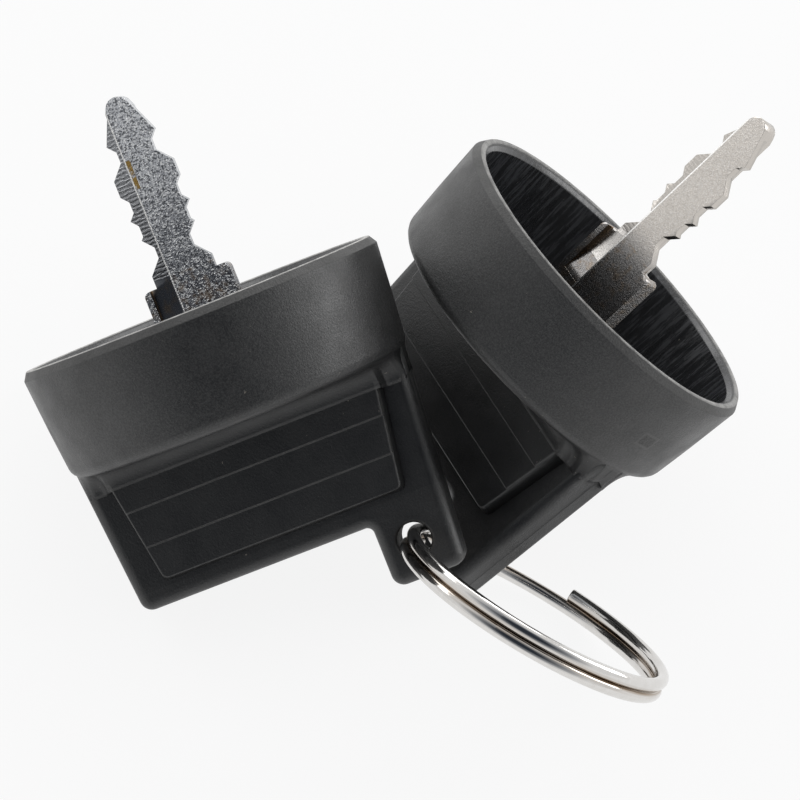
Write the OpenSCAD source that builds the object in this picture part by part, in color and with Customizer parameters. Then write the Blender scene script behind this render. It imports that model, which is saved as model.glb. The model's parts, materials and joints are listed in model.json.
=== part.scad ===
// Two identical double-sided keys with moulded cup heads, carried on one steel split ring.
// Millimetres. The assembly lies on the plane z = 0 with the middle of its base at the origin.
// A key is drawn with its cup rim on the plane z = 0 and its blade along +z; its eye is toward +x.

/* [Cup] */
// Outer diameter of the cup at the open rim
rim_d = 38; // [32:0.5:46]
// Outer diameter of the cup at its back
cup_back_d = 36.2; // [30:0.2:44]
// Outside length of the cup along its axis
cup_h = 11.9; // [10:0.1:15]
// Depth of the cup from the rim to its floor
cup_depth = 9.9; // [7:0.1:12]
// Inside diameter just below the mouth chamfer
mouth_d = 34.7; // [28:0.1:40]
// Inside diameter at the floor
floor_d = 33.2; // [26:0.1:38]
// Radial width of the outer rim chamfer
rim_bevel = 0.55; // [0.2:0.05:1]
// Length of the outer rim chamfer along the axis
rim_bevel_h = 0.85; // [0.4:0.05:2]
// Width and depth of the chamfer inside the mouth
mouth_bevel = 0.65; // [0.2:0.05:1]
// Fillet radius where the inner wall meets the floor
floor_r = 0.8; // [0.3:0.1:2]
// Rounding of the cup's back edge
back_r = 1.3; // [0.5:0.1:2]

/* [Grip] */
// Width of the grip where it leaves the cup
grip_w = 35.4; // [28:0.2:42]
// Length of the grip behind the cup
grip_len = 15.2; // [10:0.2:20]
// Thickness of the grip
grip_t = 5.05; // [4:0.05:6.5]
// Taper of each grip side in degrees
grip_taper = 4.7; // [0:0.1:8]
// Rounding of the grip and tab edges
edge_r = 1.2; // [0.5:0.1:1.8]
// Radius of the soft corner between the cup and the grip
root_r = 2.2; // [1:0.1:3]

/* [Stepped pad] */
// Width of the raised pad at the cup
pad_w = 30.4; // [22:0.2:34]
// Length of the raised pad behind the cup
pad_len = 12.8; // [8:0.1:14]
// Taper of each pad side in degrees
pad_taper = 9.2; // [0:0.1:14]
// Height of the lowest band above the grip
pad_rise = 1.37; // [0.5:0.01:2]
// Extra height of each band toward the cup
band_step = 0.25; // [0.1:0.05:0.6]
// Length of one band
band_len = 3.9; // [2:0.1:4.2]
// Draft of the pad walls in degrees
pad_draft = 14; // [5:1:30]

/* [Eye tab] */
// Width of the tab
tab_w = 7.6; // [6:0.1:10]
// Length of the tab beyond the grip
tab_len = 6.7; // [5:0.1:9]
// Diameter of the eye
eye_d = 3.5; // [3:0.1:4.5]
// Distance from the tab's outer side to the middle of the eye
eye_side = 4.3; // [3:0.1:5]
// Distance from the tab's end to the middle of the eye
eye_end = 4; // [3:0.1:5]
// Chamfer at each end of the eye
eye_bevel = 0.35; // [0.1:0.05:0.6]

/* [Blade] */
// Thickness of the blade stock
blade_t = 2; // [1.6:0.05:2.6]
// Width of the bitted part
blade_w = 6.6; // [5.4:0.1:8]
// Width of the stem, in the cup and in the moulding
stem_w = 9.2; // [8:0.1:12]
// Reach of the blade beyond the rim
blade_reach = 22.2; // [20:0.1:30]
// Distance from the rim to the stop shoulder
stop_z = 2.85; // [1:0.05:4]
// Rounding of the stop shoulder corners
stop_r = 0.6; // [0.2:0.1:1]
// Depth of the stem in the moulding, measured from the rim
stem_depth = 24; // [18:0.5:25]
// Diameter of the anchor holes in the stem
anchor_d = 4; // [2:0.5:5]
// Radius of the tip
tip_r = 1.25; // [0.8:0.05:2]
// Angle of each tip bevel from the blade's axis in degrees
tip_angle = 23.3; // [15:0.1:40]

/* [Blade grooves] */
// Width of the milled groove on each face
groove_w = 2.48; // [1.5:0.02:3]
// Distance from the blade's middle line to the groove
groove_in = 1.42; // [1:0.02:2]
// Depth of the groove
groove_depth = 1; // [0.4:0.05:1.2]
// Distance from the rim at which the groove floor starts to rise
groove_run = 3.4; // [1:0.1:6]
// Radius of the groove cutter
groove_cutter = 25; // [15:1:40]

/* [Bitting] */
// Depth number of each cut, from the shoulder to the tip
key_code = [2, 1, 1, 0, 2];
// Distance from the rim to the first cut
first_cut = 6.22; // [5:0.02:8]
// Distance between cuts
cut_pitch = 2.55; // [2:0.05:3]
// Depth of one bitting step
cut_step = 0.67; // [0.4:0.01:0.8]
// Length of the flat floor of a cut
cut_flat = 1.15; // [0.8:0.05:1.6]
// Angle of the cut flanks from the blade's axis in degrees
cut_angle = 42; // [35:1:50]

/* [Split ring] */
// Mean diameter of the ring
ring_d = 28.6; // [24:0.2:36]
// Diameter of the wire
wire_d = 1.4; // [1.1:0.05:1.6]
// Depth by which the two turns press into each other
turn_press = 0.04; // [0.02:0.01:0.1]

/* [Lay of the parts] */
// Place of the left key's eye around the ring in degrees
left_at = 92; // [88:0.5:110]
// Turn of the left key about its eye in degrees
left_turn = 0; // [-10:1:40]
// Place of the right key's eye around the ring in degrees
right_at = 53.5; // [40:0.5:54]
// Turn of the right key about its eye in degrees
right_turn = 0; // [-40:1:10]

/* [Hidden] */
head_colour = [0.07, 0.07, 0.075];
blade_colour = [0.72, 0.70, 0.66];
ring_colour = [0.80, 0.79, 0.77];
eps = 0.01;

grip_z = -cup_h - grip_len;
tab_z = grip_z - tab_len;
half_t = grip_t / 2;
function side_x(z) = grip_w / 2 + (z + cup_h) * tan(grip_taper);
function pad_x(z) = pad_w / 2 + (z + cup_h) * tan(pad_taper);
eye_z = tab_z + eye_end;
eye_x = side_x(eye_z) - eye_side;
tab_in = side_x(tab_z) - tab_w;
pad_z = -cup_h - pad_len;
low_y = half_t + pad_rise;
mid_y = low_y + band_step;
top_y = mid_y + band_step;

ring_r = ring_d / 2;
wire_r = wire_d / 2;
turn_z = wire_r - turn_press / 2;
lower_from = 82;
eye_slack = 0.2;
cross_from = 64;
cross_to = 80;
// Extra turn of the right key that keeps the two rims apart when they are made wider
rim_spread = 2.4 * max(0, rim_d - 38);

// ---- key head ----

function arc(cx, cy, r, a0, a1, n) =
    [for (i = [0:n]) [cx + r * cos(a0 + (a1 - a0) * i / n), cy + r * sin(a0 + (a1 - a0) * i / n)]];

module cup() {
    rotate_extrude($fn = 96)
        polygon(concat(
            [[0, -cup_h]],
            arc(cup_back_d / 2 - back_r, -cup_h + back_r, back_r, -90, 0, 5),
            [[rim_d / 2, -rim_bevel_h], [rim_d / 2 - rim_bevel, 0]],
            [[mouth_d / 2 + mouth_bevel, 0], [mouth_d / 2, -mouth_bevel]],
            arc(floor_d / 2 - floor_r, -cup_depth + floor_r, floor_r, 0, -90, 4),
            [[0, -cup_depth]]));
}

module edge_ball(x, z) {
    for (y = [-1, 1])
        translate([x, y * (half_t - edge_r), z]) sphere(r = edge_r, $fn = 32);
}

// Flat grip between the cup and the free end, with rounded edges.
module grip() {
    z1 = -cup_depth - edge_r - eps;
    z0 = grip_z + edge_r;
    hull() {
        edge_ball(edge_r - side_x(z1), z1);
        edge_ball(side_x(z1) - edge_r, z1);
        edge_ball(edge_r - side_x(z0), z0);
        edge_ball(side_x(z0) - edge_r, z0);
    }
}

module tab() {
    z1 = grip_z + grip_len / 2;
    z0 = tab_z + edge_r;
    hull() {
        edge_ball(tab_in + edge_r, z1);
        edge_ball(side_x(z1) - edge_r, z1);
        edge_ball(tab_in + edge_r, z0);
        edge_ball(side_x(z0) - edge_r, z0);
    }
}

module pad_slice(y, inset) {
    translate([0, y, 0])
        rotate([90, 0, 0])
        linear_extrude(height = eps)
        polygon([
            [inset - pad_x(-cup_h), -cup_h + 1], [pad_x(-cup_h) - inset, -cup_h + 1],
            [pad_x(pad_z) - inset, pad_z + inset], [inset - pad_x(pad_z), pad_z + inset]]);
}

// Raised pad on both faces, in three bands that step down away from the cup.
module pad() {
    draft = (top_y - half_t) * tan(pad_draft);
    difference() {
        hull() {
            pad_slice(top_y, draft);
            pad_slice(half_t, 0);
            pad_slice(-half_t + eps, 0);
            pad_slice(-top_y + eps, draft);
        }
        for (s = [-1, 1]) {
            translate([-grip_w / 2, s * (mid_y + 2) - 2, pad_z - 1])
                cube([grip_w, 4, 2 * band_len + 1]);
            translate([-grip_w / 2, s * (low_y + 2) - 2, pad_z - 1])
                cube([grip_w, 4, band_len + 1]);
        }
    }
}

// Soft corner between the back of the cup and a flat face at distance y.
module root_corner(y, half_w) {
    for (s = [0, 1])
        mirror([0, s, 0])
            difference() {
                translate([-half_w, y - 0.5, -cup_h - root_r])
                    cube([2 * half_w, root_r + 0.5, root_r + 0.5]);
                translate([-half_w - 1, y + root_r, -cup_h - root_r])
                    rotate([0, 90, 0]) cylinder(r = root_r, h = 2 * half_w + 2, $fn = 64);
            }
}

module eye() {
    translate([eye_x, 0, eye_z])
        rotate([90, 0, 0]) {
            cylinder(d = eye_d, h = grip_t + 2, center = true, $fn = 64);
            for (s = [0, 1])
                mirror([0, 0, s])
                    translate([0, 0, half_t - eye_bevel])
                    cylinder(d1 = eye_d, d2 = eye_d + 4 * eye_bevel, h = 2 * eye_bevel, $fn = 64);
        }
}

module stem() {
    difference() {
        translate([-stem_w / 2, -blade_t / 2, -stem_depth])
            cube([stem_w, blade_t, stem_depth]);
        for (z = [-cup_h - anchor_d / 2, -stem_depth + anchor_d])
            translate([0, 0, z])
                rotate([90, 0, 0]) cylinder(d = anchor_d, h = blade_t + 2, center = true, $fn = 48);
    }
}

module key_head() {
    difference() {
        union() {
            cup();
            grip();
            tab();
            pad();
            root_corner(top_y, pad_x(-cup_h) - 1);
            root_corner(half_t, pad_x(-cup_h) + 0.6);
        }
        stem();
        eye();
    }
}

// ---- key blade ----

// Outline of one half of the blade above the rim, before the cuts.
module blade_outline() {
    tip_z = blade_reach - tip_r;
    bevel_x = tip_r * cos(tip_angle);
    bevel_z = tip_z + tip_r * sin(tip_angle);
    wide_z = bevel_z - (blade_w / 2 - bevel_x) / tan(tip_angle);
    polygon(concat(
        [[-stem_w / 2, -eps]],
        arc(-stem_w / 2 + stop_r, stop_z - stop_r, stop_r, 180, 90, 5),
        [[-blade_w / 2, stop_z], [-blade_w / 2, wide_z]],
        arc(0, tip_z, tip_r, 180 - tip_angle, tip_angle, 12),
        [[blade_w / 2, wide_z], [blade_w / 2, stop_z]],
        arc(stem_w / 2 - stop_r, stop_z - stop_r, stop_r, 90, 0, 5),
        [[stem_w / 2, -eps]]));
}

module bitting() {
    flare = blade_w / 2;
    for (i = [0:len(key_code) - 1], s = [-1, 1])
        if (key_code[i] > 0) {
            z = first_cut + i * cut_pitch;
            x = blade_w / 2 - key_code[i] * cut_step;
            w = cut_flat / 2;
            wide = w + flare * tan(90 - cut_angle);
            polygon([[s * x, z - w], [s * x, z + w], [s * (x + flare), z + wide],
                [s * (x + flare), z - wide]]);
        }
}

// Groove on one face, with the curved run-out that its cutter leaves.
module groove() {
    floor_y = blade_t / 2 - groove_depth;
    translate([-groove_in - groove_w, -blade_t / 2 - 1, groove_run])
        cube([groove_w, 1 + groove_depth, blade_reach]);
    translate([-groove_in - groove_w, -floor_y - groove_cutter, groove_run])
        rotate([0, 90, 0]) cylinder(r = groove_cutter, h = groove_w, $fn = 180);
}

module key_blade() {
    difference() {
        union() {
            stem();
            translate([0, blade_t / 2, 0])
                rotate([90, 0, 0])
                linear_extrude(height = blade_t)
                difference() {
                    blade_outline();
                    bitting();
                }
        }
        groove();
        rotate([0, 0, 180]) groove();
    }
}

// ---- split ring ----

module turn(z, from, to) {
    translate([0, 0, z])
        rotate([0, 0, from])
        rotate_extrude(angle = to - from, $fn = 128)
        translate([ring_r, 0]) circle(r = wire_r, $fn = 32);
}

function turn_point(a, z) = [ring_r * cos(a), ring_r * sin(a), z];

// Stretch where the wire crosses from the lower turn to the upper turn.
module crossing() {
    p = turn_point(cross_from - 1.5, -turn_z);
    d = turn_point(cross_to + 1.5, turn_z) - p;
    translate(p)
        rotate([0, acos(d[2] / norm(d)), atan2(d[1], d[0])])
        cylinder(r = wire_r - 0.02, h = norm(d), $fn = 32);
}

module ring() {
    turn(turn_z, cross_to, 360);
    turn(-turn_z, lower_from, cross_from + 360);
    crossing();
}

// ---- placing ----

module on_ring(at, inward, axial, lean, swing) {
    rotate([0, 0, at])
        translate([ring_r - inward, 0, axial])
        rotate(lean)
        rotate([0, swing, 0])
        translate([-eye_x, 0, -eye_z])
        children();
}

module lie() {
    translate([15.141, -19.494, 12.265]) rotate([-2.24, 51.21, 53.99]) children();
}

module left_place() {
    lie() on_ring(left_at, eye_slack, 0, [-1.4, -52.2, -171.1], left_turn) children();
}

module right_place() {
    lie() on_ring(right_at, 0, -turn_z / 2, [-4.9, 15.8, -171.4], right_turn + rim_spread)
        children();
}

module left_key_head() color(head_colour) left_place() key_head();
module left_key_blade() color(blade_colour) left_place() key_blade();
module right_key_head() color(head_colour) right_place() key_head();
module right_key_blade() color(blade_colour) right_place() key_blade();
module split_ring() color(ring_colour) lie() ring();

left_key_head();
left_key_blade();
right_key_head();
right_key_blade();
split_ring();
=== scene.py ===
import math, json
import bpy, bmesh
from mathutils import Matrix, Vector
from mathutils.geometry import tessellate_polygon

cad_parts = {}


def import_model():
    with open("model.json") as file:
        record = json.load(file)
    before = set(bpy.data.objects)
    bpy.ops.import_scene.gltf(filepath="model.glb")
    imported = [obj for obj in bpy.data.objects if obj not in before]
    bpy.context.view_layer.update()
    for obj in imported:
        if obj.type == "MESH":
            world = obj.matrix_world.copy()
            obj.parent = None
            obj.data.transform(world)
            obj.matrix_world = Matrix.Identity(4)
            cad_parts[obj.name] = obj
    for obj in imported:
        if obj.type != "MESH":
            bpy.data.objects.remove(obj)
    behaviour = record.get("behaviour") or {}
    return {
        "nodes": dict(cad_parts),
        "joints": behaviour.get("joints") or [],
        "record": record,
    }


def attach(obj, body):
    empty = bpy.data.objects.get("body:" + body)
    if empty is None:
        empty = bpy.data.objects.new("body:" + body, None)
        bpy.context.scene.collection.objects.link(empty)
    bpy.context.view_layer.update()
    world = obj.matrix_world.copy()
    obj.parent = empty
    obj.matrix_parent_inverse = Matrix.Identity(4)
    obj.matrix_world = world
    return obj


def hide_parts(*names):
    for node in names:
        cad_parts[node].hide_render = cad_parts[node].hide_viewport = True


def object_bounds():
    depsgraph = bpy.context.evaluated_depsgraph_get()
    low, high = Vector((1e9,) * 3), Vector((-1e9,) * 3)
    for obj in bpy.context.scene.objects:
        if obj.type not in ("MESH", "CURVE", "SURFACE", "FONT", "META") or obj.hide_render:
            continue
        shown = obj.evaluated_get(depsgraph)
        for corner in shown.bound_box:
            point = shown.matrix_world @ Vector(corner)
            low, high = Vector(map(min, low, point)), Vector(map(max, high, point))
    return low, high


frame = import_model()
cad_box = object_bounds()
MM = 0.001

# ---------------------------------------------------------------- frames from the record
record = frame["record"]
mounts = {m["name"]: m for m in record["mounts"]}
joints = {j["name"]: j for j in frame["joints"]}


def key_frame(side):
    """Frame of one key: blade along z, its eye toward x, both flat faces square to y."""
    o = Vector(mounts[side + "_blade"]["pos_m"])
    z = Vector(mounts[side + "_blade"]["axis"]).normalized()
    y = Vector(joints[side + "_key_swing"]["axis"]).normalized()
    x = y.cross(z).normalized()
    y = z.cross(x)
    m = Matrix((x, y, z)).transposed().to_4x4()
    m.translation = o
    return m


KEY = {s: key_frame(s) for s in ("left", "right")}


# turn from the left key's eye to the wire's free end
WIRE_END_DEG = -92


def ring_frame():
    """Frame of the ring: z along its axis, x toward the wire's free end."""
    o = Vector(mounts["ring_loop"]["pos_m"])
    z = Vector(mounts["ring_loop"]["axis"]).normalized()
    arm = Vector(joints["left_key_swing"]["pos_m"]) - o
    arm -= z * arm.dot(z)
    x = Matrix.Rotation(math.radians(WIRE_END_DEG), 3, z) @ arm.normalized()
    y = z.cross(x)
    m = Matrix((x, y, z)).transposed().to_4x4()
    m.translation = o
    return m


RING = ring_frame()


# ---------------------------------------------------------------- mesh helpers (lengths in mm)
def make_object(name, verts, faces, mat, matrix, body):
    """A piece whose mesh lies in the row frame; matrix places its own millimetre coordinates there."""
    me = bpy.data.meshes.new(name)
    me.from_pydata([matrix @ (Vector(v) * MM) for v in verts], [], faces)
    me.validate()
    bm = bmesh.new()
    bm.from_mesh(me)
    bmesh.ops.remove_doubles(bm, verts=bm.verts, dist=1e-7)
    bmesh.ops.recalc_face_normals(bm, faces=bm.faces)
    bm.to_mesh(me)
    bm.free()
    for p in me.polygons:
        p.use_smooth = True
    ob = bpy.data.objects.new(name, me)
    bpy.context.scene.collection.objects.link(ob)
    me.materials.append(mat)
    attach(ob, body)
    return ob


class Build:
    """Collects vertices and faces of several closed shells."""

    def __init__(self):
        self.v, self.f = [], []

    def ring_strip(self, rings, closed=True, caps=False):
        """Joins rings of equal length with quads."""
        base = len(self.v)
        n = len(rings[0])
        for r in rings:
            self.v.extend(r)
        for i in range(len(rings) - 1):
            a, b = base + i * n, base + (i + 1) * n
            for j in range(n if closed else n - 1):
                k = (j + 1) % n
                self.f.append((a + j, a + k, b + k, b + j))
        if caps:
            self.f.append(tuple(base + j for j in range(n)))
            self.f.append(tuple(base + (len(rings) - 1) * n + j for j in range(n)))
        return base, n

    def mesh(self, verts, faces):
        base = len(self.v)
        self.v.extend(verts)
        self.f.extend(tuple(base + i for i in f) for f in faces)


def round_path(points, seg=6):
    """Open path with its corners rounded; each point is (x, y, radius)."""
    out = [points[0][:2]]
    for i in range(1, len(points) - 1):
        p0, p1, p2 = (Vector(points[k][:2]) for k in (i - 1, i, i + 1))
        out.extend(corner(p0, p1, p2, points[i][2], seg))
    out.append(points[-1][:2])
    return [tuple(p) for p in out]


def corner(p0, p1, p2, r, seg):
    """Points of the arc of radius r that rounds the corner at p1."""
    a, b = (p0 - p1), (p2 - p1)
    la, lb = a.length, b.length
    a.normalize()
    b.normalize()
    half = math.acos(max(-1, min(1, a.dot(b)))) / 2
    if r < 1e-4 or half > math.pi / 2 - 0.01:
        return [p1.copy() for _ in range(seg + 1)] if r >= 0 and seg and r > 0 else [p1.copy()]
    cut = min(r / math.tan(half), la * 0.49, lb * 0.49)
    r = cut * math.tan(half)
    c = p1 + (a + b).normalized() * (r / math.sin(half))
    s, e = p1 + a * cut - c, p1 + b * cut - c
    ang = s.angle_signed(e)
    return [c + Matrix.Rotation(-ang * t / seg, 2) @ s for t in range(seg + 1)]


# ---------------------------------------------------------------- sizes (mm, key frame)
RIM_R, BACK_R, CUP_H, DEPTH = 19.0, 18.1, 11.9, 9.9
HALF = 2.525
EDGE = 1.15
GRIP_Z, TAB_Z = -27.1, -33.8
TAPER = math.tan(math.radians(4.7))
TAB_IN = 8.3
EYE = (11.928, -29.8)
EYE_R = 1.75


def side(z):
    return 17.7 + (z + CUP_H) * TAPER


def cup_back_z(r):
    """Height of the cup's back surface at radius r, its edge rounding included."""
    q, flat = 1.3, BACK_R - 1.3
    if r <= flat:
        return -CUP_H
    d = min(r - flat, q)
    return -CUP_H + q - math.sqrt(q * q - d * d)


# ---------------------------------------------------------------- key head
def lathe(b, path, seg=192):
    rings = []
    for r, z in path:
        rings.append([(r * math.cos(2 * math.pi * k / seg), r * math.sin(2 * math.pi * k / seg), z)
                      for k in range(seg)])
    b.ring_strip(rings)


def cup(b):
    path = round_path([
        (0.001, -CUP_H, 0), (8, -CUP_H, 0), (BACK_R - 0.08, -CUP_H, 1.4), (18.55, -6.5, 0),
        (RIM_R, -0.88, 0.25),
        (18.46, 0, 0.16), (18.0, 0, 0.16), (17.35, -0.65, 0.2), (17.0, -5, 0), (16.6, -DEPTH, 0.8),
        (8, -DEPTH, 0), (0.001, -DEPTH, 0)], 5)
    clean = [path[0]]
    for p in path[1:]:
        if (Vector(p) - Vector(clean[-1])).length > 1e-4:
            clean.append(p)
    lathe(b, clean)


def outline(inset):
    """Outline of the grip and tab in x, z, moved inward by inset."""
    d = inset
    pts = [
        (-side(-9.9) + d, -10.6), (-side(GRIP_Z) + d, GRIP_Z + d), (TAB_IN + d, GRIP_Z + d),
        (TAB_IN + d, TAB_Z + d), (side(TAB_Z) - d, TAB_Z + d), (side(-9.9) - d, -10.6)]
    radii = [0, max(1.3 - d, 0.12), 0.7 + d, max(1.3 - d, 0.12), max(1.3 - d, 0.12), 0]
    out = [Vector(pts[0])]
    n = len(pts)
    for i in range(1, n - 1):
        out.extend(corner(Vector(pts[i - 1]), Vector(pts[i]), Vector(pts[i + 1]), radii[i], 8))
    out.append(Vector(pts[-1]))
    return out


def slab(b):
    """Grip and tab: rounded edges, a fine parting line and the eye."""
    steps = 7
    prof = [(-0.05, 0.0), (0.0, 0.09)]
    for k in range(steps + 1):
        a = math.pi / 2 * k / steps
        prof.append((EDGE * (1 - math.cos(a)), HALF - EDGE + EDGE * math.sin(a)))
    full = [(d, -y) for d, y in reversed(prof)] + prof[1:]
    rings = []
    for d, y in full:
        rings.append([(p.x, y, p.y) for p in outline(d)])
    base, n = b.ring_strip(rings, closed=False)
    # close the open side, which lies inside the cup
    first = [base + i * n for i in range(len(rings))]
    last = [base + i * n + n - 1 for i in range(len(rings))]
    for i in range(len(rings) - 1):
        b.f.append((first[i], first[i + 1], last[i + 1], last[i]))
    # eye with softly rounded rims
    seg = 48
    eye = []
    soft = 0.4
    prof_eye = [(EYE_R + soft * (1 - math.sin(a)), HALF - soft * (1 - math.cos(a)))
                for a in (math.pi / 2 * k / 6 for k in range(7))]
    for r, y in [(r, -y) for r, y in prof_eye] + [(r, y) for r, y in reversed(prof_eye)]:
        eye.append([(EYE[0] + r * math.cos(2 * math.pi * k / seg), y,
                     EYE[1] + r * math.sin(2 * math.pi * k / seg)) for k in range(seg)])
    ebase, en = b.ring_strip(eye)
    # flat faces with the eye left open
    for s, ring_at, eye_at in ((-1, 0, 0), (1, len(rings) - 1, len(eye) - 1)):
        around = [base + ring_at * n + j for j in range(n)]
        hole = [ebase + eye_at * en + j for j in range(en)]
        outer = [Vector((b.v[i][0], b.v[i][2], 0)) for i in around]
        inner = [Vector((b.v[i][0], b.v[i][2], 0)) for i in hole]
        tris = tessellate_polygon([outer, inner])
        idx = around + hole
        for t in tris:
            b.f.append(tuple(idx[i] for i in t))


PAD_X0, PAD_TAPER = 15.2, math.tan(math.radians(9.2))
BANDS = [(-16.9, 4.4), (-20.8, 4.15), (-24.7, 3.9)]
PAD_END = -24.7
DRAFT = math.tan(math.radians(14))


def pad(side_sign):
    """Raised pad on one face, in three bands, as a small closed shell of its own."""
    def px(z, y):
        return PAD_X0 + (z + CUP_H) * PAD_TAPER - (y - HALF) * DRAFT
    s = side_sign
    y0 = HALF - 0.3
    prof = [(-11.0, 4.4)]
    for i, (z, y) in enumerate(BANDS):
        if i == len(BANDS) - 1:
            prof.append((z + (y - HALF) * DRAFT, y))
            prof.append((z - 0.3 * DRAFT, y0))
        else:
            prof.append((z, y))
            prof.append((z, BANDS[i + 1][1]))
    top = [(-px(z, y), s * y, z) for z, y in prof] + [(px(z, y), s * y, z) for z, y in prof]
    n = len(prof)
    verts = top + [(-px(-11.0, y0), s * y0, -11.0), (px(-11.0, y0), s * y0, -11.0)]
    faces = [(i, i + 1, n + i + 1, n + i) for i in range(n - 1)]
    faces.append(tuple(list(range(n)) + [2 * n]))
    faces.append(tuple(list(range(n, 2 * n)) + [2 * n + 1]))
    faces.append((0, n, 2 * n + 1, 2 * n))
    faces.append((n - 1, 2 * n - 1, 2 * n + 1, 2 * n))
    me = bpy.data.meshes.new("pad")
    me.from_pydata([Vector(v) for v in verts], [], faces)
    bm = bmesh.new()
    bm.from_mesh(me)
    bmesh.ops.recalc_face_normals(bm, faces=bm.faces)
    # the two outer corners at the free end are rounder than the band edges
    end = [e for e in bm.edges if all(v.co.z < PAD_END + 0.6 for v in e.verts)
           and abs(e.verts[0].co.y - e.verts[1].co.y) > 0.5]
    bmesh.ops.bevel(bm, geom=end, offset=0.55, segments=4, affect="EDGES", profile=0.5)
    rest = [e for e in bm.edges if len(e.link_faces) == 2 and e.calc_face_angle(0) > 0.35
            and max(abs(v.co.y) for v in e.verts) > y0 + 0.2]
    bmesh.ops.bevel(bm, geom=rest, offset=0.13, segments=3, affect="EDGES", profile=0.5)
    bm.verts.index_update()
    out_v = [tuple(v.co) for v in bm.verts]
    out_f = [tuple(v.index for v in f.verts) for f in bm.faces]
    bm.free()
    bpy.data.meshes.remove(me)
    return out_v, out_f


# wall point, where it lands on the cup's back, and how far down the wall the blend starts
BLEND = [
    ((17.70, 0.0), (18.02, 0.0), 1.6), ((17.70, 1.0), (17.98, 1.8), 2.0), ((17.30, 2.15), (17.05, 4.3), 2.5),
    ((16.60, 2.52), (16.35, 5.2), 2.7), ((15.70, 2.53), (15.8, 5.9), 2.7), ((15.25, 2.75), (15.5, 6.3), 2.6),
    ((15.00, 3.6), (15.1, 6.6), 2.5), ((14.72, 4.25), (14.7, 6.8), 2.4), ((14.3, 4.4), (14.2, 6.8), 2.4),
    ((10.0, 4.4), (10.0, 6.8), 2.4), ((0.0, 4.4), (0.0, 6.8), 2.4)]


def blend_collar(b):
    """Soft corner all round the grip where it meets the back of the cup."""
    fine = []
    for i in range(len(BLEND) - 1):
        (a0, a1), (b0, b1), r = BLEND[i]
        (c0, c1), (d0, d1), q = BLEND[i + 1]
        m = 4 if i < 8 else 6
        for k in range(m):
            t = k / m
            fine.append(((a0 + (c0 - a0) * t, a1 + (c1 - a1) * t),
                         (b0 + (d0 - b0) * t, b1 + (d1 - b1) * t), r + (q - r) * t))
    fine.append(BLEND[-1])
    quarter = fine
    loop = []
    loop += [((x, y), (u, v), r) for (x, y), (u, v), r in quarter]
    loop += [((-x, y), (-u, v), r) for (x, y), (u, v), r in reversed(quarter[:-1])]
    loop += [((-x, -y), (-u, -v), r) for (x, y), (u, v), r in quarter[1:]]
    loop += [((x, -y), (u, -v), r) for (x, y), (u, v), r in reversed(quarter[1:-1])]
    rings = []
    n = 10
    rings.append([(x * 0.97, y * 0.93, -CUP_H - r) for (x, y), _, r in loop])
    for k in range(n + 1):
        a = math.pi / 2 * k / n
        row = []
        for (x, y), (u, v), r in loop:
            zo = cup_back_z(math.hypot(u, v)) + 0.02
            zl = -CUP_H - r
            f, g = 1 - math.cos(a), 1 - math.sin(a)
            row.append((x + (u - x) * f, y + (v - y) * f, zo + (zl - zo) * g))
        rings.append(row)
    rings.append([(u, v, -CUP_H + 1.5) for _, (u, v), _ in loop])
    b.ring_strip(rings)


def key_head(name, key, body, node, mat):
    b = Build()
    cup(b)
    slab(b)
    for s in (-1, 1):
        b.mesh(*pad(s))
    blend_collar(b)
    ob = make_object(name, b.v, b.f, mat, key, body)
    w = ob.modifiers.new("normals", "WEIGHTED_NORMAL")
    w.keep_sharp = True
    w.weight = 80
    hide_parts(node)
    return ob


# ---------------------------------------------------------------- split ring
RING_R, WIRE_R, TURN = 14.3, 0.7, 0.68
ENDS = (82.0, 424.0, 440.0, 720.0)


def wire_point(a):
    b0, c0, c1, _ = ENDS
    t = max(0.0, min(1.0, (a - c0) / (c1 - c0)))
    z = -TURN + 2 * TURN * (t * t * (3 - 2 * t))
    a = math.radians(a)
    return Vector((RING_R * math.cos(a), RING_R * math.sin(a), z))


def split_ring(name, mat):
    b = Build()
    seg = 28
    step = 1.5
    count = int((ENDS[3] - ENDS[0]) / step)
    rings, angles = [], [ENDS[0] + (ENDS[3] - ENDS[0]) * i / count for i in range(count + 1)]
    for a in angles:
        p = wire_point(a)
        q = (wire_point(a + 0.05) - wire_point(a - 0.05)).normalized()
        out = Vector((math.cos(math.radians(a)), math.sin(math.radians(a)), 0))
        up = q.cross(out).normalized()
        out = up.cross(q)
        turn = [2 * math.pi * k / seg for k in range(seg)]
        rings.append([tuple(p + (out * math.cos(t) + up * math.sin(t)) * WIRE_R) for t in turn])
    # cut ends: a small rounding, then a flat face
    def end(ring, towards):
        c = sum((Vector(v) for v in ring), Vector()) / seg
        res = []
        for s, m in ((0.97, 0.05), (0.9, 0.09), (0.5, 0.1)):
            res.append([tuple(c + (Vector(v) - c) * s + towards * m) for v in ring])
        return res
    t0 = (wire_point(ENDS[0]) - wire_point(ENDS[0] + 0.5)).normalized()
    t1 = (wire_point(ENDS[3]) - wire_point(ENDS[3] - 0.5)).normalized()
    rings = list(reversed(end(rings[0], t0))) + rings + end(rings[-1], t1)
    b.ring_strip(rings, caps=True)
    ob = make_object(name, b.v, b.f, mat, RING, "ring")
    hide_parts("split_ring")
    return ob


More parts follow.
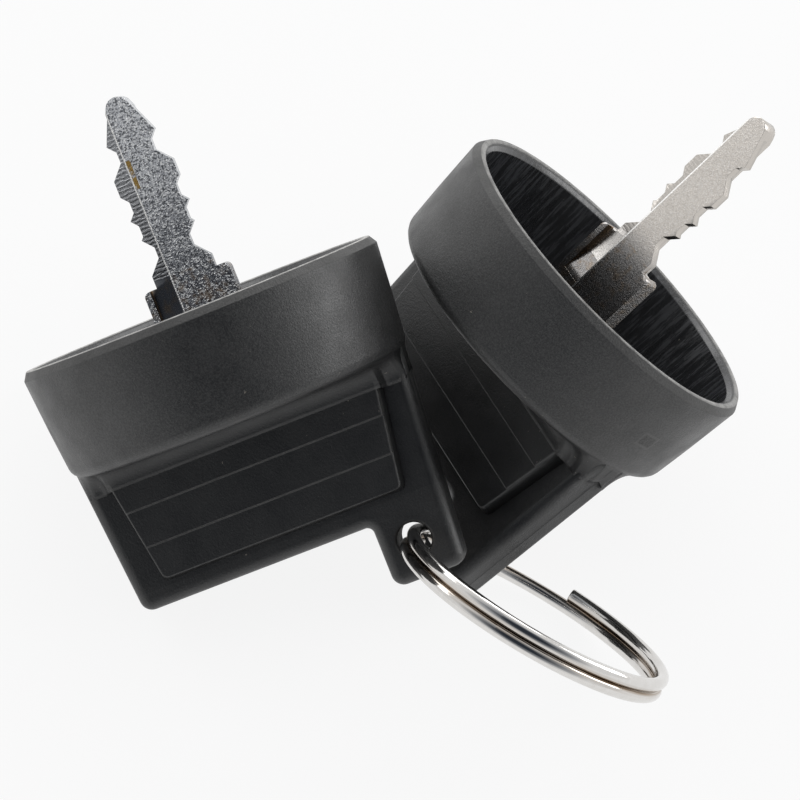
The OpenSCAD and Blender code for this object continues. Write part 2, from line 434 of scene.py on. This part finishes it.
# ---------------------------------------------------------------- materials
class Nodes:
    """Small helper for node trees."""

    def __init__(self, name):
        self.mat = bpy.data.materials.new(name)
        self.mat.use_nodes = True
        self.t = self.mat.node_tree
        self.bsdf = self.t.nodes["Principled BSDF"]

    def new(self, kind, **props):
        n = self.t.nodes.new(kind)
        for k, v in props.items():
            setattr(n, k, v)
        return n

    def link(self, a, b):
        self.t.links.new(a, b)

    def math(self, op, a, b=None):
        n = self.new("ShaderNodeMath", operation=op)
        for i, v in enumerate((a, b)):
            if v is None:
                continue
            if isinstance(v, (int, float)):
                n.inputs[i].default_value = v
            else:
                self.link(v, n.inputs[i])
        return n.outputs[0]

    def noise(self, vec, scale, detail=3, rough=0.55):
        n = self.new("ShaderNodeTexNoise")
        n.inputs["Scale"].default_value = scale
        n.inputs["Detail"].default_value = detail
        n.inputs["Roughness"].default_value = rough
        self.link(vec, n.inputs["Vector"])
        return n.outputs["Fac"]

    def mix(self, fac, a, b):
        n = self.new("ShaderNodeMix", data_type="RGBA")
        if isinstance(fac, (int, float)):
            n.inputs["Factor"].default_value = fac
        else:
            self.link(fac, n.inputs["Factor"])
        for sock, v in ((6, a), (7, b)):
            if isinstance(v, tuple):
                n.inputs[sock].default_value = v
            else:
                self.link(v, n.inputs[sock])
        return n.outputs[2]

    def range(self, v, lo, hi, a=0.0, b=1.0):
        n = self.new("ShaderNodeMapRange")
        n.inputs["From Min"].default_value = lo
        n.inputs["From Max"].default_value = hi
        n.inputs["To Min"].default_value = a
        n.inputs["To Max"].default_value = b
        self.link(v, n.inputs["Value"])
        return n.outputs["Result"]

    def both(self, a, b):
        return self.math("MULTIPLY", a, b)

    def near(self, v, at, width):
        """1 where v is within width of at."""
        return self.math("LESS_THAN", self.math("ABSOLUTE", self.math("SUBTRACT", v, at)), width)

    def mixf(self, fac, a, b):
        n = self.new("ShaderNodeMix", data_type="FLOAT")
        self.link(fac, n.inputs["Factor"])
        self.link(a, n.inputs[2])
        self.link(b, n.inputs[3])
        return n.outputs[0]

    def scaled(self, vec, s):
        n = self.new("ShaderNodeVectorMath", operation="MULTIPLY")
        self.link(vec, n.inputs[0])
        n.inputs[1].default_value = s
        return n.outputs[0]

    def bump(self, height, strength, dist, normal=None):
        n = self.new("ShaderNodeBump")
        n.inputs["Strength"].default_value = strength
        n.inputs["Distance"].default_value = dist
        self.link(height, n.inputs["Height"])
        if normal is not None:
            self.link(normal, n.inputs["Normal"])
        return n.outputs["Normal"]


# how strongly the rim's flat land is painted pale, a painted highlight, least and most
LAND_HIGHLIGHT = {"left": (0.45, 1.0), "right": (0.10, 0.45)}


# gate mark on the right cup: turn in radians, radius and height in mm
GATE_TURN, GATE_R, GATE_Z = 0.035, 18.5, -6.8
# per key: colour of the painted highlight along the edges of the pad's bands
PAD_EDGE_HIGHLIGHT = {"left": (0.058, 0.057, 0.055, 1), "right": (0.026, 0.026, 0.026, 1)}


def plastic(side_name):
    """Black moulded plastic: fine grain and dust outside, polished and drag-marked inside the cup, with
    painted sheen, painted reflection and painted highlights.
    """
    n = Nodes(side_name + "_moulding")
    mm = local_mm(n, KEY[side_name])
    sep = n.new("ShaderNodeSeparateXYZ")
    n.link(mm, sep.inputs[0])
    x, y, z = sep.outputs
    ax, ay = n.math("ABSOLUTE", x), n.math("ABSOLUTE", y)
    r = n.math("SQRT", n.math("ADD", n.math("MULTIPLY", x, x), n.math("MULTIPLY", y, y)))
    inside = n.both(n.math("LESS_THAN", r, 17.75), n.math("GREATER_THAN", z, -10.4))
    ang = n.math("ARCTAN2", y, x)
    turn = n.new("ShaderNodeCombineXYZ")
    n.link(n.math("MULTIPLY", ang, 17.0), turn.inputs[0])
    n.link(n.math("MULTIPLY", z, 0.08), turn.inputs[1])
    n.link(r, turn.inputs[2])
    streak = n.noise(turn.outputs[0], 2.2, 4, 0.6)
    hatch = n.noise(turn.outputs[0], 6.0, 2, 0.6)
    grain = n.noise(mm, 4.2, 4, 0.65)
    coarse = n.noise(mm, 0.35, 3, 0.5)
    speck = n.noise(mm, 7.0, 2, 0.7)
    dust = n.math("MULTIPLY", n.range(speck, 0.685, 0.74), n.range(coarse, 0.35, 0.65, 0.25, 0.9))
    hair = n.noise(n.scaled(mm, (1.0, 3.2, 0.6)), 1.9, 2, 0.8)
    lint = n.both(n.range(hair, 0.745, 0.765), n.range(n.noise(mm, 0.22, 1, 0.5), 0.5, 0.55))
    base = n.mix(coarse, (0.0095, 0.0099, 0.0106, 1), (0.0150, 0.0152, 0.0156, 1))
    mottle_and_sheen = n.noise(mm, 5.2, 3, 0.85)
    # the cup's outer shell is lightened in mottled patches: painted sheen on the moulding's own mottle
    shell = n.both(n.math("GREATER_THAN", r, 17.8), n.math("GREATER_THAN", z, -11.7))
    base = n.mix(n.both(shell, n.range(mottle_and_sheen, 0.42, 0.60, 0.0, 0.85)), base, (0.052, 0.052, 0.051, 1))
    # below the grip the plastic is lighter in patches: painted sheen
    low_end_sheen = n.both(n.math("LESS_THAN", z, -25.2), n.range(mottle_and_sheen, 0.38, 0.62, 0.10, 1.0))
    base = n.mix(low_end_sheen, base, (0.026, 0.026, 0.026, 1))
    # inside the cup: pale bluish streaks along the drag marks, a painted reflection
    base = n.mix(n.both(inside, n.range(streak, 0.45, 0.75, 0.15, 1.0)), base, (0.062, 0.065, 0.072, 1))
    # rim: hatched chamfer and a painted highlight on its flat land
    chamfer = n.both(n.math("GREATER_THAN", r, 18.3), n.math("GREATER_THAN", z, -0.9))
    hatched = n.math("MULTIPLY", chamfer, n.range(hatch, 0.35, 0.7, 0.25, 0.8))
    base = n.mix(hatched, base, (0.060, 0.059, 0.057, 1))
    # painted highlight: the rim's flat land mixed toward pale grey, unevenly
    land = n.both(n.math("GREATER_THAN", z, -0.10), n.math("GREATER_THAN", r, 17.8))
    land_highlight = n.range(n.noise(mm, 0.8, 3, 0.6), 0.30, 0.62, *LAND_HIGHLIGHT[side_name])
    base = n.mix(n.math("MULTIPLY", land, land_highlight), base, (0.52, 0.51, 0.49, 1))
    # pad: the edges of its bands are painted paler, a painted highlight
    on_pad = n.both(n.math("GREATER_THAN", ay, 3.70), n.math("LESS_THAN", z, -13.5))
    lines = n.math("MAXIMUM", n.near(z, -16.93, 0.10), n.near(z, -20.83, 0.10))
    lines = n.math("MAXIMUM", lines, n.near(z, -24.55, 0.16))
    wall = n.math("ADD", n.math("MULTIPLY", n.math("ADD", z, CUP_H), PAD_TAPER), PAD_X0 + HALF * DRAFT)
    wall = n.math("SUBTRACT", wall, n.math("MULTIPLY", ay, DRAFT))
    lines = n.math("MAXIMUM", lines, n.near(n.math("SUBTRACT", ax, wall), 0.0, 0.16))
    # painted highlight along the band edges, uneven in strength
    pad_edge_highlight = n.math("MULTIPLY", n.both(on_pad, lines), n.range(n.noise(mm, 1.1, 2, 0.6), 0.3, 0.7, 0.25, 1.0))
    base = n.mix(pad_edge_highlight, base, PAD_EDGE_HIGHLIGHT[side_name])
    base = n.mix(n.math("MULTIPLY", dust, 0.55), base, (0.21, 0.20, 0.185, 1))
    base = n.mix(n.math("MULTIPLY", lint, 0.8), base, (0.34, 0.31, 0.26, 1))
    height_extra = None
    if side_name == "right":
        # small rectangular gate mark on the outside of the cup
        u = n.math("MULTIPLY", n.math("ADD", ang, GATE_TURN), GATE_R)
        gate = n.both(n.near(u, 0.0, 0.95), n.near(z, GATE_Z, 0.62))
        ridge = n.both(n.near(u, 0.0, 1.25), n.near(z, GATE_Z, 0.90))
        torn = n.noise(mm, 3.0, 3, 0.8)
        base = n.mix(n.math("MULTIPLY", ridge, 0.55), base, (0.070, 0.069, 0.067, 1))
        base = n.mix(n.both(gate, n.range(torn, 0.35, 0.65, 0.5, 1.0)), base, (0.004, 0.004, 0.004, 1))
        dug = n.math("MULTIPLY", gate, n.range(torn, 0.3, 0.7, 0.6, 2.4))
        height_extra = n.math("SUBTRACT", n.math("MULTIPLY", ridge, 0.8), dug)
    n.link(base, n.bsdf.inputs["Base Color"])
    rough_out = n.range(coarse, 0.3, 0.7, 0.36, 0.50)
    rough_out = n.math("ADD", rough_out, n.math("MULTIPLY", chamfer, 0.12))
    rough_in = n.range(streak, 0.35, 0.65, 0.14, 0.36)
    n.link(n.mixf(inside, rough_out, rough_in), n.bsdf.inputs["Roughness"])
    h_out = n.math("ADD", n.math("MULTIPLY", grain, 0.75), n.math("MULTIPLY", speck, 0.35))
    h_out = n.math("ADD", h_out, n.math("MULTIPLY", n.math("MULTIPLY", chamfer, hatch), 0.8))
    if height_extra is not None:
        h_out = n.math("ADD", h_out, height_extra)
    h = n.mixf(inside, h_out, n.math("MULTIPLY", streak, 0.35))
    n.link(n.bump(h, 0.42, 0.00013), n.bsdf.inputs["Normal"])
    n.bsdf.inputs["Specular IOR Level"].default_value = 0.7
    return n.mat


def local_mm(n, key):
    """Millimetres in the key's own frame, for a mesh whose vertices are in the row frame."""
    co = n.new("ShaderNodeTexCoord").outputs["Object"]
    mp = n.new("ShaderNodeMapping", vector_type="TEXTURE")
    mp.inputs["Location"].default_value = key.translation
    mp.inputs["Rotation"].default_value = key.to_euler("XYZ")
    n.link(co, mp.inputs["Vector"])
    return n.scaled(mp.outputs[0], (1000, 1000, 1000))


# per key: bump of the rolled face, its grain scale, tarnish beside the arris, ripple in the groove
BLADE_LOOK = {"left": (1.5, 7.5, 1.0, 0.75), "right": (0.13, 6.0, 0.0, 0.04)}
# per key: heights in mm between which the painted dark reflection at the blade's root fades, and its strength
# at each
ROOT_SHADE = {"left": (1.0, 16.0, 0.88, 0.0), "right": (2.4, 5.6, 0.55, 0.0)}
# per key: tone of the milled groove floor
GROOVE_TONE = {"left": (0.16, 0.155, 0.15, 1), "right": (0.44, 0.42, 0.395, 1)}
# per key: two tones of the metal, and how strongly the grain's painted glints and painted dark specks show
BLADE_TONE = {
    "left": ((0.52, 0.535, 0.56, 1), (0.68, 0.695, 0.72, 1), 0.85),
    "right": ((0.525, 0.492, 0.455, 1), (0.605, 0.570, 0.530, 1), 0.10),
}


def blade_metal(side_name, key):
    """Nickel-plated stamped blade: grainy faces, cutter chatter in the grooves, torn shoulder edges, painted
    glints, a painted dark reflection at the root and painted highlights on the arris and the run-out.
    """
    n = Nodes(side_name + "_blade_metal")
    coarse_bump, grain_scale, tarnish, ripple = BLADE_LOOK[side_name]
    mm = local_mm(n, key)
    sep = n.new("ShaderNodeSeparateXYZ")
    n.link(mm, sep.inputs[0])
    x, y, z = sep.outputs
    ax, ay = n.math("ABSOLUTE", x), n.math("ABSOLUTE", y)
    face = n.math("GREATER_THAN", ay, 0.96)
    strip = n.math("LESS_THAN", ay, 0.30)
    floor_part = n.both(n.both(strip, n.math("GREATER_THAN", ax, 1.40)), n.math("LESS_THAN", ax, 3.92))
    cheek = n.both(n.math("LESS_THAN", ay, 0.93), n.math("GREATER_THAN", ax, 4.45))
    pebble = n.new("ShaderNodeTexVoronoi")
    pebble.inputs["Scale"].default_value = grain_scale
    n.link(mm, pebble.inputs["Vector"])
    grain = n.noise(mm, grain_scale * 1.2, 3, 0.7)
    fine = n.noise(mm, 14.0, 2, 0.7)
    stain = n.noise(mm, 0.45, 3, 0.5)
    wob = n.noise(n.scaled(mm, (1.2, 1.2, 2.5)), 1.0, 2, 0.6)
    chatter = n.math("SINE", n.math("MULTIPLY", n.math("ADD", z, n.math("MULTIPLY", wob, 0.6)), 15.0))
    # colour
    dark, light, sparkle = BLADE_TONE[side_name]
    body = n.mix(stain, dark, light)
    # painted dark reflection: the blade darker toward its root
    root_reflection = n.range(z, *ROOT_SHADE[side_name])
    body = n.mix(root_reflection, body, (0.15, 0.16, 0.18, 1))
    split = n.new("ShaderNodeSeparateColor")
    n.link(pebble.outputs["Color"], split.inputs[0])
    # painted glints and painted dark specks in the grain of the faces
    glint = n.math("MULTIPLY", n.both(face, n.range(split.outputs[0], 0.62, 0.78)), sparkle)
    shade = n.math("MULTIPLY", n.both(face, n.range(split.outputs[1], 0.50, 0.70)), sparkle)
    body = n.mix(shade, body, (0.055, 0.060, 0.070, 1))
    body = n.mix(glint, body, (0.95, 0.955, 0.96, 1))
    body = n.mix(n.both(floor_part, n.range(grain, 0.3, 0.7, 0.25, 0.65)), body, GROOVE_TONE[side_name])
    runout = n.both(floor_part, n.math("LESS_THAN", z, 3.6))
    low = n.both(n.math("LESS_THAN", z, 3.6), n.range(n.noise(mm, 0.9, 3, 0.6), 0.48, 0.66))
    body = n.mix(n.math("MULTIPLY", low, 0.55), body, (0.30, 0.215, 0.135, 1))
    # where there is no tarnish (the right key), the groove's run-out near the root is painted near-white: a
    # painted highlight
    if not tarnish:
        body = n.mix(n.math("MULTIPLY", runout, 0.85), body, (0.80, 0.775, 0.745, 1))
    wall = n.both(n.both(n.near(ax, 3.9, 0.06), n.math("LESS_THAN", ay, 0.9)), n.math("LESS_THAN", z, 3.4))
    body = n.mix(n.math("MULTIPLY", wall, 0.85), body, (0.26, 0.17, 0.09, 1))
    if tarnish:
        bar = n.both(n.near(x, -1.12, 0.30), n.near(z, 14.3, 1.5))
        bar = n.both(bar, n.range(n.noise(mm, 1.6, 2, 0.6), 0.36, 0.50))
        body = n.mix(n.math("MULTIPLY", n.both(bar, face), tarnish), body, (0.36, 0.235, 0.075, 1))
    # the arris between the face and its groove is painted as a bright line, a painted highlight
    arris = n.both(n.near(ax, 1.34, 0.075), n.both(face, n.math("GREATER_THAN", n.math("MULTIPLY", x, y), 0)))
    body = n.mix(arris, body, (0.98, 0.97, 0.95, 1))
    n.link(body, n.bsdf.inputs["Base Color"])
    n.bsdf.inputs["Metallic"].default_value = 1.0
    n.link(n.range(grain, 0.3, 0.7, 0.17, 0.30), n.bsdf.inputs["Roughness"])
    # relief
    pits = n.math("ADD", n.math("MULTIPLY", pebble.outputs["Distance"], 0.8), n.math("MULTIPLY", grain, 1.0))
    rolled = n.both(pits, n.math("MULTIPLY", face, coarse_bump))
    milled = n.both(floor_part, n.math("GREATER_THAN", z, 3.6))
    waves = n.math("ADD", n.math("MULTIPLY", chatter, ripple), n.math("MULTIPLY", grain, ripple * 2))
    cut = n.both(waves, milled)
    torn = n.both(n.math("MULTIPLY", pits, 2.4), n.both(cheek, n.math("LESS_THAN", z, 2.6)))
    # curved tool mark near the tip, on the front face
    dx, dz = n.math("SUBTRACT", x, -0.35), n.math("SUBTRACT", z, 18.1)
    d = n.math("SQRT", n.math("ADD", n.math("MULTIPLY", dx, dx), n.math("MULTIPLY", dz, dz)))
    front = n.both(face, n.math("LESS_THAN", y, 0))
    arc = n.both(n.near(d, 1.05, 0.13), n.both(n.math("GREATER_THAN", x, -0.2), front))
    h = n.math("ADD", n.math("ADD", rolled, cut), n.math("ADD", torn, n.math("MULTIPLY", fine, 0.10)))
    h = n.math("SUBTRACT", h, n.math("MULTIPLY", arc, 1.6 * tarnish))
    n.link(n.bump(h, 0.6, 0.00010), n.bsdf.inputs["Normal"])
    return n.mat


def ring_metal():
    """Bright nickel on drawn wire, brown where the two turns touch."""
    n = Nodes("ring_wire")
    mm = local_mm(n, RING)
    sep = n.new("ShaderNodeSeparateXYZ")
    n.link(mm, sep.inputs[0])
    x, y, z = sep.outputs
    r = n.math("SQRT", n.math("ADD", n.math("MULTIPLY", x, x), n.math("MULTIPLY", y, y)))
    ang = n.math("ARCTAN2", y, x)
    turn = n.new("ShaderNodeCombineXYZ")
    n.link(n.math("MULTIPLY", ang, 1.6), turn.inputs[0])
    n.link(n.math("MULTIPLY", r, 3.2), turn.inputs[1])
    n.link(n.math("MULTIPLY", z, 3.2), turn.inputs[2])
    draw = n.noise(turn.outputs[0], 1.2, 3, 0.5)
    fine = n.noise(turn.outputs[0], 5.0, 2, 0.5)
    spots = n.noise(mm, 1.1, 3, 0.6)
    seam = n.range(n.math("ABSOLUTE", z), 0.16, 0.62, 1.0, 0.0)
    base = n.mix(spots, (0.76, 0.75, 0.735, 1), (0.64, 0.62, 0.595, 1))
    tint = n.math("MULTIPLY", seam, n.range(draw, 0.35, 0.65, 0.25, 0.95))
    base = n.mix(tint, base, (0.30, 0.225, 0.155, 1))
    n.link(base, n.bsdf.inputs["Base Color"])
    n.bsdf.inputs["Metallic"].default_value = 1.0
    n.link(n.range(fine, 0.3, 0.7, 0.07, 0.15), n.bsdf.inputs["Roughness"])
    n.link(n.bump(draw, 0.22, 0.00010), n.bsdf.inputs["Normal"])
    return n.mat


# ---------------------------------------------------------------- make the pieces
WELD_GAP = 0.000002
BLADE_BEVEL = 0.00009
BEVEL_FROM_DEG = 28

for side_name in ("left", "right"):
    body = side_name + "_key"
    key_head(side_name + "_head", KEY[side_name], body, body + "_head", plastic(side_name))
    blade = frame["nodes"][side_name + "_key_blade"]
    blade.data.materials.clear()
    blade.data.materials.append(blade_metal(side_name, KEY[side_name]))
    for p in blade.data.polygons:
        p.use_smooth = True
    weld = blade.modifiers.new("weld", "WELD")
    weld.merge_threshold = WELD_GAP
    bev = blade.modifiers.new("edges", "BEVEL")
    bev.width = BLADE_BEVEL
    bev.segments = 2
    bev.limit_method = "ANGLE"
    bev.angle_limit = math.radians(BEVEL_FROM_DEG)
    w = blade.modifiers.new("normals", "WEIGHTED_NORMAL")
    w.weight = 80
split_ring("wire_ring", ring_metal())


# ---------------------------------------------------------------- floor, world, lamps, camera
# share of plain white in what the camera sees of the floor; the rest keeps the shadow
FLOOR_GLOW = 0.88
FLOOR_HALF = 6.0
# from the object to the photo's viewpoint, and the photo's horizontal
VIEW_BACK = Vector((-0.1067, -0.4982, 0.8605)).normalized()
VIEW_RIGHT = Vector((0.9924, 0.0001, 0.1231)).normalized()
VIEW_PLACE = Vector((-0.045154, -0.214461, 0.389371))
VIEW_LENS = 193.3


def seen(n):
    """1 for what the camera sees, straight or in a mirror or through glass."""
    lp = n.new("ShaderNodeLightPath")
    either = n.math("MAXIMUM", lp.outputs["Is Camera Ray"], lp.outputs["Is Glossy Ray"])
    return n.math("MAXIMUM", either, lp.outputs["Is Transmission Ray"])


def floor():
    me = bpy.data.meshes.new("floor")
    s = FLOOR_HALF
    me.from_pydata([(-s, -s, 0), (s, -s, 0), (s, s, 0), (-s, s, 0)], [], [(0, 1, 2, 3)])
    ob = bpy.data.objects.new("floor", me)
    bpy.context.scene.collection.objects.link(ob)
    n = Nodes("floor_paper")
    n.bsdf.inputs["Base Color"].default_value = (0.93, 0.93, 0.93, 1)
    n.bsdf.inputs["Roughness"].default_value = 0.9
    n.bsdf.inputs["Specular IOR Level"].default_value = 0.1
    glow = n.new("ShaderNodeEmission")
    glow.inputs["Color"].default_value = (1, 1, 1, 1)
    mix = n.new("ShaderNodeMixShader")
    n.link(n.math("MULTIPLY", seen(n), FLOOR_GLOW), mix.inputs["Fac"])
    n.link(n.bsdf.outputs[0], mix.inputs[1])
    n.link(glow.outputs[0], mix.inputs[2])
    n.link(mix.outputs[0], n.t.nodes["Material Output"].inputs["Surface"])
    me.materials.append(n.mat)


floor()


def world():
    """A pale studio all round, with a dark hood toward the photo's viewpoint, fixed in space."""
    w = bpy.data.worlds.new("studio")
    bpy.context.scene.world = w
    w.use_nodes = True
    t = w.node_tree
    bg = t.nodes["Background"]
    tc = t.nodes.new("ShaderNodeTexCoord")
    dot = t.nodes.new("ShaderNodeVectorMath")
    dot.operation = "DOT_PRODUCT"
    t.links.new(tc.outputs["Generated"], dot.inputs[0])
    dot.inputs[1].default_value = VIEW_BACK
    ramp = t.nodes.new("ShaderNodeValToRGB")
    e = ramp.color_ramp.elements
    e[0].position, e[0].color = 0.50, (1.0, 1.0, 1.0, 1)
    e[1].position, e[1].color = 0.95, (0.035, 0.043, 0.058, 1)
    mid_stop = e.new(0.76)
    mid_stop.color = (0.40, 0.415, 0.44, 1)
    t.links.new(dot.outputs["Value"], ramp.inputs["Fac"])
    t.links.new(ramp.outputs["Color"], bg.inputs["Color"])
    bg.inputs["Strength"].default_value = 0.85


world()


def lamp(name, loc, target, size, power, size_y=None):
    d = bpy.data.lights.new(name, "AREA")
    d.shape = "RECTANGLE"
    d.size, d.size_y = size, size_y or size
    d.energy = power
    ob = bpy.data.objects.new(name, d)
    bpy.context.scene.collection.objects.link(ob)
    ob.location = loc
    ob.rotation_euler = (Vector(target) - Vector(loc)).to_track_quat("-Z", "Y").to_euler()
    return ob


mid = (Vector(cad_box[0]) + Vector(cad_box[1])) / 2
lamp("left_softbox", (-0.62, 0.62, 0.42), mid, 0.45, 1.3, 0.45)
lamp("right_softbox", (0.70, 0.22, 0.30), mid, 0.35, 2.0, 0.5)
lamp("back_softbox", (0.10, 0.75, 0.40), mid, 0.9, 2.0, 0.35)

cam_data = bpy.data.cameras.new("camera")
cam = bpy.data.objects.new("camera", cam_data)
bpy.context.scene.collection.objects.link(cam)
cam_data.sensor_width = 36
cam_data.lens = VIEW_LENS
cam_data.clip_start, cam_data.clip_end = 0.05, 20
up = VIEW_BACK.cross(VIEW_RIGHT).normalized()
m = Matrix((up.cross(VIEW_BACK), up, VIEW_BACK)).transposed().to_4x4()
m.translation = VIEW_PLACE
cam.matrix_world = m
bpy.context.scene.camera = cam
bpy.context.scene.view_settings.view_transform = "Standard"
